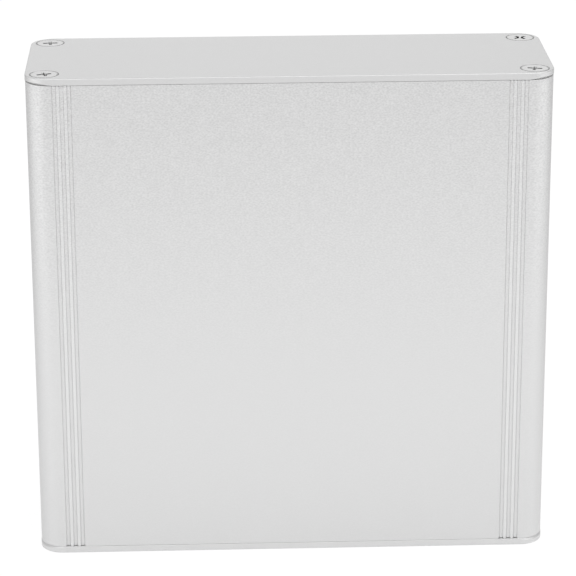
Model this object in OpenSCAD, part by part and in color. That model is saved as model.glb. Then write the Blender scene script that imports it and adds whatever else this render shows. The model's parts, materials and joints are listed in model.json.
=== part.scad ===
// Extruded aluminium enclosure: two identical half shells, two end panels and their screws.
// X runs across the broad face, Y through the depth and Z along the extrusion, in millimetres.
// The origin is the middle of the lower panel's outer face.

/* [Case] */

// Width over the two narrow sides
case_w = 106; // [80:1:160]
// Depth over the two broad faces
case_d = 33.5; // [32:0.5:60]
// Length of the extruded half shells
shell_len = 100; // [50:1:240]
// Radius of the long outer edges
corner_r = 5; // [3:0.25:6]
// Depth of the shallow easing along the outside of the shells' cut ends
end_ease = 0.8; // [0.7:0.1:1.2]
// Height of that easing at the outer faces
end_ease_h = 0.05; // [0.03:0.01:0.15]
// Thickness of the broad walls
broad_wall = 2; // [1.6:0.1:2.5]
// Thickness of the narrow side walls
side_wall = 2; // [1.6:0.1:2.5]

/* [Face grooves] */

// Grooves beside each long edge of a broad face
groove_count = 3; // [1:1:5]
// Width of one groove
groove_w = 0.9; // [0.7:0.1:1.2]
// Depth of one groove, whose section is an arc
groove_d = 0.35; // [0.2:0.05:0.45]
// Spacing of the grooves
groove_pitch = 1.5; // [1.4:0.1:2.5]
// Distance from the narrow side to the middle of the outermost groove
groove_inset = 5.9; // [5.5:0.1:9]
// Chamfer around the mouth of a groove at the cut ends
groove_mouth = 0.2; // [0.1:0.05:0.25]

/* [Screw ports] */

// Distance from both outer faces to the axis of a port
port_inset = 3.9; // [3.7:0.1:5]
// Bore of a port
port_d = 2.5; // [2.3:0.1:2.8]
// Wall around the bore
port_wall = 1.6; // [1.2:0.1:2]
// Width of the slit that opens the bore to the inside
port_slit = 1.2; // [0.8:0.1:1.6]

/* [Board slots] */

// Board slots on each side wall of one half shell
slot_count = 2; // [1:1:2]
// Width of a board slot
slot_w = 1.8; // [1.2:0.1:2]
// Thickness of the ribs between the slots
rib_t = 1.2; // [0.8:0.1:1.5]
// Reach of the ribs from the side wall
rib_reach = 2.2; // [1.2:0.1:3]

/* [Seam] */

// Thickness of the lip that carries the tongue or the groove
lip_t = 3.8; // [3.4:0.1:5]
// Height of the lip
lip_h = 3; // [2.6:0.1:4]
// Distance from the narrow side to the middle of the tongue
tongue_inset = 1.9; // [1.6:0.1:2.2]
// Thickness of the tongue
tongue_t = 1; // [0.8:0.1:1.4]
// Height of the tongue
tongue_h = 1.6; // [1:0.1:2]
// Clearance around the tongue
tongue_gap = 0.08; // [0.04:0.02:0.16]
// Chamfer of the outer edges of the seam
seam_chamfer = 0.3; // [0.1:0.05:0.5]

/* [End panels] */

// Thickness of an end panel
panel_t = 1.4; // [1.2:0.1:3]
// Radius of the panel's corners
panel_r = 4.75; // [2:0.25:5.5]
// Overhang of the panel beyond the shells
panel_over = 0.05; // [0:0.05:0.4]
// Radius of the outer rim
rim_r = 0.2; // [0.1:0.05:0.6]
// Chamfer of the inner rim
rim_chamfer = 0.05; // [0.05:0.01:0.2]
// Radius added around the corners of the inner face, which the punch has drawn in
corner_draw = 1.1; // [0.5:0.1:1.5]
// Clear hole for a screw
hole_d = 3.2; // [3:0.1:3.6]
// Countersink at the outer face
sink_d = 5.9; // [5.9:0.1:6.2]

/* [Screws] */

// Diameter of the head
head_d = 5.6; // [5:0.1:5.6]
// Height of the head's straight edge
head_edge = 0.1; // [0.05:0.05:0.15]
// Length of a screw over its head
screw_len = 8; // [6:1:12]
// Gap between the thread's core and the bore of a port
core_gap = 0.05; // [0.03:0.01:0.1]
// Gap between the head and its countersink
seat_gap = 0.03; // [0.02:0.01:0.05]
// Width over the wings of the cross recess
recess_w = 3; // [2.4:0.1:3.2]
// Depth of the cross recess
recess_h = 1.1; // [0.8:0.1:1.3]
// Thickness of one wing of the recess
recess_t = 0.6; // [0.4:0.05:0.8]
// Diameter of the recess's round middle
recess_d = 1.4; // [1:0.1:1.8]

/* [Hidden] */

$fn = 96;
eps = 0.01;
half_d = case_d / 2;
groove_r = (groove_w * groove_w / 4 + groove_d * groove_d) / (2 * groove_d);
port_x = case_w / 2 - port_inset;
port_y = half_d - port_inset;
boss_r = port_d / 2 + port_wall;
tongue_x = case_w / 2 - tongue_inset;
slot_pitch = slot_w + rib_t;
panel_w = case_w + 2 * panel_over;
panel_d = case_d + 2 * panel_over;
draw_r = panel_r + corner_draw;
draw_h = panel_t / 2;
// The drawn corner starts just outside the chamfered rim, so that the two run into each other
draw_inset = draw_r + rim_chamfer - 0.02;
case_h = shell_len + 2 * panel_t;
core_r = port_d / 2 - core_gap;
// The head sinks until its cone is the seat gap above the countersink, both at 45 degrees
head_sink = (sink_d - head_d) / 2 - head_edge - seat_gap;
// The cone stops short of the shells or where it has narrowed to the core
cone_h = min(head_d / 2 - core_r - seat_gap, panel_t - head_sink - head_edge - seat_gap);
neck_r = head_d / 2 - cone_h;
// Sides of the four screws and how far the cross of each is turned
screw_sides = [[-1, -1], [1, -1], [-1, 1], [1, 1]];
screw_turns = [18, 76, 4, 37];
shell_colour = [0.8, 0.81, 0.82];
panel_colour = [0.84, 0.84, 0.85];
screw_colour = [0.7, 0.7, 0.72];

// Outline of a half shell: the broad face lies on y = 0 and the seam on y = half_d
module half_outline() {
    difference() {
        union() {
            translate([-case_w / 2 + corner_r, 0])
                square([case_w - 2 * corner_r, half_d]);
            translate([-case_w / 2, corner_r])
                square([case_w, half_d - corner_r]);
            for (side = [-1, 1])
                translate([side * (case_w / 2 - corner_r), corner_r])
                    circle(r = corner_r);
        }
        for (side = [-1, 1])
            translate([side * case_w / 2, half_d])
                rotate(45)
                    square(seam_chamfer * sqrt(2), center = true);
    }
}

// Space inside a half shell, less the ports, the ribs and the lips that stand in it
module half_cavity() {
    difference() {
        translate([-case_w / 2 + side_wall, broad_wall])
            square([case_w - 2 * side_wall, half_d - broad_wall + eps]);
        wall_fittings();
        mirror([1, 0])
            wall_fittings();
    }
}

// What stands inside the side wall at positive x
module wall_fittings() {
    // Boss of the screw port, filled out to the corner
    translate([port_x, port_inset])
        circle(r = boss_r);
    translate([port_x, 0])
        square([port_inset, port_inset]);
    // Ribs of the board slots, counted from the lip
    for (i = [1 : slot_count])
        translate([case_w / 2 - side_wall - rib_reach, half_d - lip_h - i * slot_pitch])
            square([side_wall + rib_reach, rib_t]);
    // Lip at the seam
    translate([case_w / 2 - lip_t, half_d - lip_h])
        square([lip_t, lip_h + 2 * eps]);
}

// Repeats its children on the axes of the grooves' arcs
module at_grooves() {
    for (side = [-1, 1])
        for (i = [0 : groove_count - 1])
            translate([side * (case_w / 2 - groove_inset - i * groove_pitch), groove_d - groove_r, 0])
                children();
}

// Bore of both ports, each with its slit towards the middle
module port_bores() {
    for (side = [-1, 1])
        translate([side * port_x, port_inset]) {
            circle(d = port_d);
            rotate(90 + side * 45)
                translate([0, -port_slit / 2])
                    square([boss_r + port_slit, port_slit]);
        }
}

// Cross-section of one half shell: tongue at negative x, groove at positive x
module half_section() {
    difference() {
        half_outline();
        half_cavity();
        at_grooves()
            circle(r = groove_r);
        port_bores();
        translate([tongue_x - tongue_t / 2 - tongue_gap, half_d - tongue_h - tongue_gap])
            square([tongue_t + 2 * tongue_gap, tongue_h + 2 * tongue_gap]);
    }
    translate([-tongue_x - tongue_t / 2, half_d - lip_h / 2])
        square([tongue_t, lip_h / 2 + tongue_h]);
}

// Shallow wedge that eases a lower edge, drawn at the distance of that edge from x = 0
module bevel_section(edge) {
    polygon([
        [edge - end_ease * (1 + eps / end_ease_h), -eps],
        [edge + eps, -eps],
        [edge + eps, end_ease_h * (1 + eps / end_ease)]
    ]);
}

// Straight wedge of the given length along y, its edge on x = 0
module bevel_bar(length) {
    rotate([90, 0, 180])
        mirror([1, 0, 0])
            linear_extrude(height = length)
                bevel_section(0);
}

// Easing around the outside of a half shell's lower end, with chamfered mouths of the grooves
module end_bevel() {
    translate([0, 0, -eps])
        at_grooves()
            cylinder(r1 = groove_r + groove_mouth + eps, r2 = groove_r, h = groove_mouth + eps);
    translate([-case_w / 2 + corner_r, 0, 0])
        rotate([0, 0, -90])
            bevel_bar(case_w - 2 * corner_r);
    for (side = [0, 1])
        mirror([side, 0, 0]) {
            translate([case_w / 2, corner_r, 0])
                bevel_bar(half_d - corner_r + eps);
            translate([case_w / 2 - corner_r, corner_r, 0])
                rotate([0, 0, -90])
                    rotate_extrude(angle = 90)
                        bevel_section(corner_r);
        }
}

// Extruded half shell with its broad face towards negative y
module half_shell() {
    translate([0, -half_d, panel_t])
        difference() {
            linear_extrude(height = shell_len)
                half_section();
            end_bevel();
            translate([0, 0, shell_len])
                mirror([0, 0, 1])
                    end_bevel();
        }
}

module front_shell() {
    color(shell_colour)
        half_shell();
}

module rear_shell() {
    color(shell_colour)
        rotate([0, 0, 180])
            half_shell();
}

// Section through the rim of a panel, from the corner's axis at x = 0 to the edge
module rim_section() {
    difference() {
        square([panel_r, panel_t]);
        translate([panel_r - rim_r, panel_t - rim_r])
            difference() {
                square(rim_r + eps);
                circle(r = rim_r);
            }
        translate([panel_r, 0])
            rotate(45)
                square(rim_chamfer * sqrt(2), center = true);
    }
}

// Straight rim of the given length along y, its edge towards positive x
module rim_bar(length) {
    translate([0, length / 2, 0])
        rotate([90, 0, 0])
            linear_extrude(height = length)
                rim_section();
}

// Panel blank with its inner face on z = 0 and its outer face up
module panel_blank() {
    straight_x = panel_w - 2 * panel_r;
    straight_y = panel_d - 2 * panel_r;
    translate([-straight_x / 2, -straight_y / 2, 0])
        cube([straight_x, straight_y, panel_t]);
    for (turn = [0, 180])
        rotate([0, 0, turn]) {
            translate([straight_x / 2, 0, 0])
                rim_bar(straight_y);
            translate([0, straight_y / 2, 0])
                rotate([0, 0, 90])
                    rim_bar(straight_x);
            translate([straight_x / 2, straight_y / 2, 0])
                rotate_extrude(angle = 90)
                    rim_section();
            translate([-straight_x / 2, straight_y / 2, 0])
                rotate([0, 0, 90])
                    rotate_extrude(angle = 90)
                        rim_section();
        }
}

// Countersunk screw hole, its mouth on z = 0 and its axis down
module sunk_hole() {
    translate([0, 0, -panel_t - eps])
        cylinder(d = hole_d, h = panel_t + 2 * eps);
    translate([0, 0, -(sink_d - hole_d) / 2])
        cylinder(d1 = hole_d, d2 = sink_d + 2 * eps, h = (sink_d - hole_d) / 2 + eps);
}

// Wedge that eases one corner of the inner face, outside a cone whose axis is on z
module corner_wedge() {
    difference() {
        translate([0, 0, -eps])
            cube([draw_inset + 1, draw_inset + 1, draw_h]);
        translate([0, 0, -2 * eps])
            cylinder(r1 = draw_r - 2 * eps, r2 = draw_r + draw_h, h = draw_h + 2 * eps);
    }
}

// Repeats its children on the four port axes
module at_ports() {
    for (x = [-port_x, port_x])
        for (y = [-port_y, port_y])
            translate([x, y, 0])
                children();
}

// End panel with its inner face on z = 0
module panel() {
    difference() {
        panel_blank();
        translate([0, 0, panel_t])
            at_ports()
                sunk_hole();
        for (x = [0, 1])
            for (y = [0, 1])
                mirror([x, 0, 0])
                    mirror([0, y, 0])
                        translate([panel_w / 2 - draw_inset, panel_d / 2 - draw_inset, 0])
                            corner_wedge();
    }
}

module top_panel() {
    color(panel_colour)
        translate([0, 0, panel_t + shell_len])
            panel();
}

module bottom_panel() {
    color(panel_colour)
        translate([0, 0, panel_t])
            rotate([180, 0, 0])
                panel();
}

// Countersunk screw with its head on top, z = 0 being the panel's outer face
module screw() {
    head_z = -head_sink;
    difference() {
        rotate_extrude()
            polygon([
                [0, head_z - screw_len],
                [core_r / 2, head_z - screw_len],
                [core_r, head_z - screw_len + core_r],
                [core_r, head_z - head_edge - cone_h],
                [neck_r, head_z - head_edge - cone_h],
                [head_d / 2, head_z - head_edge],
                [head_d / 2, head_z],
                [0, head_z]
            ]);
        translate([0, 0, head_z])
            cross_recess();
    }
}

// Cross recess, two crossing wings and a round middle that narrow towards the bottom
module cross_recess() {
    translate([0, 0, -recess_h])
        cylinder(d1 = recess_d / 2, d2 = recess_d, h = recess_h + eps);
    for (turn = [0, 90])
        rotate([90, 0, turn])
            translate([0, 0, -recess_t / 2])
                linear_extrude(height = recess_t)
                    polygon([
                        [-recess_w / 2, eps],
                        [-recess_w / 4, -recess_h],
                        [recess_w / 4, -recess_h],
                        [recess_w / 2, eps]
                    ]);
}

// The four screws of one panel, z = 0 being its outer face
module panel_screws() {
    for (i = [0 : 3])
        translate([port_x * screw_sides[i][0], port_y * screw_sides[i][1], 0])
            rotate([0, 0, screw_turns[i]])
                screw();
}

module top_panel_screws() {
    color(screw_colour)
        translate([0, 0, case_h])
            panel_screws();
}

module bottom_panel_screws() {
    color(screw_colour)
        rotate([180, 0, 0])
            panel_screws();
}

front_shell();
rear_shell();
top_panel();
bottom_panel();
top_panel_screws();
bottom_panel_screws();
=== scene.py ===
import json
import math

import bpy
from mathutils import Matrix, Vector

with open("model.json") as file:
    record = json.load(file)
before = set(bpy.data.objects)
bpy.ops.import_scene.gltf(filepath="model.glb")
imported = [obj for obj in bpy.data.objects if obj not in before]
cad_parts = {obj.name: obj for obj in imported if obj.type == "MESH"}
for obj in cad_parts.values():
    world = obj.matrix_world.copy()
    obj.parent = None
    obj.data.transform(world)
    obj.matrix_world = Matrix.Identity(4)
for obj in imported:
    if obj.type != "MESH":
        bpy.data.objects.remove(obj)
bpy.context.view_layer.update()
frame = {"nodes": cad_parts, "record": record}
nodes = frame["nodes"]
scene = bpy.context.scene
scene.view_settings.view_transform = "Standard"

# Places on the case that its finishes, their painted shade and their painted highlights follow, in
# metres
grain_foot, grain_top = 0.04, 0.105
screw_axis = (0.0491, 0.01285, 0.0)
head_rim_shade = (0.0025, 0.0027)
rim_shade_waver = 0.001
countersink_shade_rim = (0.00296, 0.00304)
middle_groove = (0.0456, 0.0, 0.0)
groove_to_rib = 0.00075
rib_highlight_edge = (0.0003, 0.0004)
recess_shade_reach = 0.0008

# Weights of the directions in which a distance is counted
along_x = (1.0, 0.0, 0.0)
in_plan = (1.0, 1.0, 0.0)


# Materials

def grey(level):
    return (level, level, level, 1.0)


class Graph:
    """Node tree of one material, with short calls for the nodes that the finishes share."""

    def __init__(self, name):
        self.material = bpy.data.materials.new(name)
        self.material.use_nodes = True
        self.tree = self.material.node_tree
        self.shader = self.tree.nodes["Principled BSDF"]
        self.output = self.tree.nodes["Material Output"]

    def feed(self, value, socket):
        """Links a socket to another one, or sets it to a plain value."""
        if isinstance(value, bpy.types.NodeSocket):
            self.tree.links.new(value, socket)
        else:
            socket.default_value = value

    def add(self, kind, inputs=None, **attributes):
        """New node with its attributes set and its inputs fed, by name or by number."""
        node = self.tree.nodes.new(kind)
        for key, value in attributes.items():
            setattr(node, key, value)
        for key, value in (inputs or {}).items():
            self.feed(value, node.inputs[key])
        return node

    def math(self, operation, *operands):
        return self.add("ShaderNodeMath", dict(enumerate(operands)), operation=operation).outputs[0]

    def vector(self, operation, *operands):
        node = self.add("ShaderNodeVectorMath", dict(enumerate(operands)), operation=operation)
        return node.outputs["Value" if operation == "LENGTH" else "Vector"]

    def scaled(self, colour, factor):
        inputs = {"Vector": colour, "Scale": factor}
        return self.add("ShaderNodeVectorMath", inputs, operation="SCALE").outputs["Vector"]

    def position(self):
        return self.add("ShaderNodeTexCoord").outputs["Object"]

    def off_axis(self, place, weights):
        """Distance from an axis at place or at its mirror images, weighted by direction."""
        offset = self.vector("SUBTRACT", self.vector("ABSOLUTE", self.position()), place)
        return self.vector("LENGTH", self.vector("MULTIPLY", offset, weights))

    def noise(self, scale, detail=2.0, roughness=0.5,
              stretch=(1.0, 1.0, 1.0), offset=(0.0, 0.0, 0.0)):
        mapping = self.add("ShaderNodeMapping", {
            "Vector": self.position(), "Scale": stretch, "Location": offset,
        })
        texture = self.add("ShaderNodeTexNoise", {
            "Vector": mapping.outputs["Vector"],
            "Scale": scale, "Detail": detail, "Roughness": roughness,
        })
        return texture.outputs["Fac"]

    def spread(self, value, low, high, begin=0.3, end=0.7):
        """Runs from low to high as the value runs from begin to end, and stays level outside."""
        return self.add("ShaderNodeMapRange", {
            "Value": value, "From Min": begin, "From Max": end, "To Min": low, "To Max": high,
        }).outputs["Result"]

    def mix(self, a, b, share):
        return self.math("MULTIPLY_ADD", b, share, self.math("MULTIPLY", a, 1.0 - share))

    def fade(self, value, foot):
        """Draws a pattern in towards its middle, down to the share foot low on the case."""
        height = self.add("ShaderNodeSeparateXYZ", {"Vector": self.position()}).outputs["Z"]
        share = self.spread(height, foot, 1.0, grain_foot, grain_top)
        return self.math("MULTIPLY_ADD", self.math("SUBTRACT", value, 0.5), share, 0.5)

    def tint(self, value, dark, light, begin=0.3, end=0.7):
        """Colour between two greys, as the value runs from begin to end."""
        ramp = self.add("ShaderNodeValToRGB", {"Fac": value})
        for stop, place, level in zip(ramp.color_ramp.elements, (begin, end), (dark, light)):
            stop.position = place
            stop.color = grey(level)
        return ramp.outputs["Color"]

    @property
    def colour(self):
        return self.shader.inputs["Base Color"].links[0].from_socket

    @colour.setter
    def colour(self, socket):
        self.feed(socket, self.shader.inputs["Base Color"])

    def metal(self, tone, dark, light, dull, glossy):
        """Bare metal whose grey and roughness follow one pattern."""
        self.feed(1.0, self.shader.inputs["Metallic"])
        self.colour = self.tint(tone, dark, light)
        self.feed(self.spread(tone, dull, glossy), self.shader.inputs["Roughness"])

    def bump(self, height, strength, distance):
        node = self.add("ShaderNodeBump", {
            "Strength": strength, "Distance": distance, "Height": height,
        })
        self.feed(node.outputs["Normal"], self.shader.inputs["Normal"])


def blasted_aluminium(name, dark, light, rough, grain, relief, foot):
    """Bead-blasted, silver anodised aluminium: pebbled grain and a trace of broad mottling."""
    g = Graph(name)
    pebbles = g.noise(grain, detail=1.0, stretch=(1.0, 1.0, 1.7))
    mottle = g.noise(grain * 0.2, offset=(0.3, 0.1, 0.2))
    tone = g.fade(g.mix(pebbles, mottle, 0.12), foot)
    g.metal(tone, dark, light, dull=rough + 0.05, glossy=rough - 0.05)
    g.bump(pebbles, relief, 0.00002)
    return g


def shell_finish():
    """Grain that is clearest at the top, and a painted highlight that makes the ribs between the
    grooves a little brighter.
    """
    g = blasted_aluminium("anodised_shell", 0.715, 0.885,
                          rough=0.44, grain=2200.0, relief=0.2, foot=0.1)
    off_groove = g.off_axis(middle_groove, along_x)
    off_rib = g.math("ABSOLUTE", g.math("SUBTRACT", off_groove, groove_to_rib))
    # Painted highlight: the colour of the ribs between the grooves is raised a little.
    g.colour = g.scaled(g.colour, g.spread(off_rib, 1.06, 1.0, *rib_highlight_edge))
    return g.material


def panel_finish():
    """Finer and quieter grain, with painted shade in the rims of the countersinks."""
    g = blasted_aluminium("anodised_panel", 0.79, 0.81,
                          rough=0.42, grain=5000.0, relief=0.04, foot=1.0)
    off_screw = g.off_axis(screw_axis, in_plan)
    # Painted shade: the colour darkens inside the rim of each countersink, in the narrow ring left
    # open around the screw head.
    g.colour = g.scaled(g.colour, g.spread(off_screw, 0.6, 1.0, *countersink_shade_rim))
    return g.material


def screw_finish():
    """Bright, slightly uneven nickel plate, with painted shade in the cross recess and at the
    head's rim.
    """
    g = Graph("nickel_plate")
    cloud = g.noise(2200.0, detail=3.0)
    scuff = g.noise(9000.0, roughness=0.6)
    g.metal(g.mix(cloud, scuff, 0.4), 0.58, 0.69, dull=0.24, glossy=0.12)
    g.bump(scuff, 0.1, 0.00001)
    # Painted shade: the base colour darkens in the cross recess and other hollows, the more the
    # more closed in they are.
    recess = g.add("ShaderNodeAmbientOcclusion",
                   {"Color": g.colour, "Distance": recess_shade_reach}, samples=8)
    g.colour = g.scaled(recess.outputs["Color"], recess.outputs["AO"])
    # Painted shade: an uneven dark ring at the rim of the head, where it meets the countersink.
    shade_waver = g.math("SUBTRACT", g.noise(700.0), 0.5)
    off_screw = g.math("MULTIPLY_ADD", shade_waver, rim_shade_waver, g.off_axis(screw_axis, in_plan))
    g.colour = g.scaled(g.colour, g.spread(off_screw, 1.0, 0.6, *head_rim_shade))
    return g.material


finishes = {"shell": shell_finish(), "panel": panel_finish(), "screw": screw_finish()}
for part in frame["record"]["subparts"]:
    slots = nodes[part["node"]].data.materials
    slots.clear()
    slots.append(finishes[part["material_slot"]])


# Floor

floor_half = 6.0
floor_drop = 0.00005
floor_tone = 0.8
seen_tone, seen_glow = 0.2, 0.86

# Pool of light in front of the case, long from left to right, which fades out over its reach
pool_middle = -0.16
pool_glow = 0.265
pool_reach = (0.05, 0.3)
pool_weights = (0.3, 1.0, 0.0)


def floor_finish():
    """White for the camera, a pool of light in reflections, and plain diffuse under the shadow."""
    g = Graph("studio_white")
    g.tree.nodes.remove(g.shader)
    path = g.add("ShaderNodeLightPath").outputs
    mirrored = g.math("MAXIMUM", path["Is Glossy Ray"], path["Is Transmission Ray"])

    def diffuse(level):
        return g.add("ShaderNodeBsdfDiffuse", {"Color": grey(level)}).outputs[0]

    def glowing(level, strength):
        light = g.add("ShaderNodeEmission", {"Strength": strength}).outputs[0]
        return g.add("ShaderNodeAddShader", {0: diffuse(level), 1: light}).outputs[0]

    def choose(switch, off, on):
        return g.add("ShaderNodeMixShader", {"Fac": switch, 1: off, 2: on}).outputs[0]

    off_middle = g.off_axis((0.0, 0.0, 0.0), pool_weights)
    pool = g.spread(off_middle, pool_glow, 0.0, *pool_reach)
    reflected = choose(mirrored, diffuse(floor_tone), glowing(floor_tone, pool))
    seen = choose(path["Is Camera Ray"], reflected, glowing(seen_tone, seen_glow))
    g.feed(seen, g.output.inputs["Surface"])
    return g.material


# The floor's own origin is the middle of the pool of light
corners = [(x * floor_half, y * floor_half, 0.0) for x, y in ((-1, -1), (1, -1), (1, 1), (-1, 1))]
floor_mesh = bpy.data.meshes.new("floor")
floor_mesh.from_pydata(corners, [], [(0, 1, 2, 3)])
floor_mesh.materials.append(floor_finish())
floor = bpy.data.objects.new("floor", floor_mesh)
floor.location = (0.0, pool_middle, -floor_drop)
scene.collection.objects.link(floor)


# Light

world = bpy.data.worlds.new("studio")
scene.world = world
world.use_nodes = True
sky = world.node_tree.nodes["Background"]
sky.inputs["Color"].default_value = grey(1.0)
sky.inputs["Strength"].default_value = 0.6


lamp_aim = Vector((0.0, 0.0, 0.05))


def softbox(name, azimuth, elevation, distance, width, height, radiance):
    """Area lamp facing the case; azimuth 0 is the camera's side and grows towards the left."""
    turn, rise = math.radians(azimuth), math.radians(elevation)
    level = math.cos(rise)
    away = Vector((-math.sin(turn) * level, -math.cos(turn) * level, math.sin(rise)))
    lamp = bpy.data.lights.new(name, "AREA")
    lamp.shape = "RECTANGLE"
    lamp.size = width
    lamp.size_y = height
    lamp.energy = radiance * math.pi * width * height
    box = bpy.data.objects.new(name, lamp)
    box.location = lamp_aim + distance * away
    box.rotation_euler = (-away).to_track_quat("-Z", "Y").to_euler()
    box.visible_camera = False
    scene.collection.objects.link(box)


# The side lamps reach no higher than the top panel, so that it doesn't mirror them
for side, turn, radiance in (("left", 75.0, 1.8), ("right", -75.0, 1.3)):
    softbox("softbox_" + side, turn, elevation=0.0, distance=0.9,
            width=1.3, height=0.1, radiance=radiance)
for side, turn, radiance in (("left", 90.0, 0.5), ("right", -90.0, 1.21)):
    softbox("softbox_high_" + side, turn, elevation=62.0, distance=0.9,
            width=0.6, height=0.5, radiance=radiance)
softbox("softbox_back", 180.0, elevation=18.0, distance=0.9,
        width=0.5, height=0.42, radiance=0.39)
softbox("softbox_front", 0.0, elevation=45.0, distance=0.6,
        width=0.9, height=0.5, radiance=0.8)


# Camera at the photograph's angle

def view_matrix(eye, target, roll):
    """Looks from eye at target, turned by roll about the line of sight."""
    ahead = (target - eye).normalized()
    right = ahead.cross(Vector((0.0, 0.0, 1.0))).normalized()
    up = right.cross(ahead)
    right_rolled = math.cos(roll) * right + math.sin(roll) * up
    up_rolled = math.cos(roll) * up - math.sin(roll) * right
    matrix = Matrix((right_rolled, up_rolled, -ahead)).transposed().to_4x4()
    matrix.translation = eye
    return matrix


lens = bpy.data.cameras.new("camera")
lens.sensor_width = 36.0
lens.lens = 167.15
lens.clip_start = 0.01
camera = bpy.data.objects.new("camera", lens)
camera.matrix_world = view_matrix(
    eye=Vector((-0.01832, -0.53168, 0.23752)),
    target=Vector((-0.00017, 0.0, 0.05243)),
    roll=math.radians(-0.23),
)
scene.collection.objects.link(camera)
scene.camera = camera
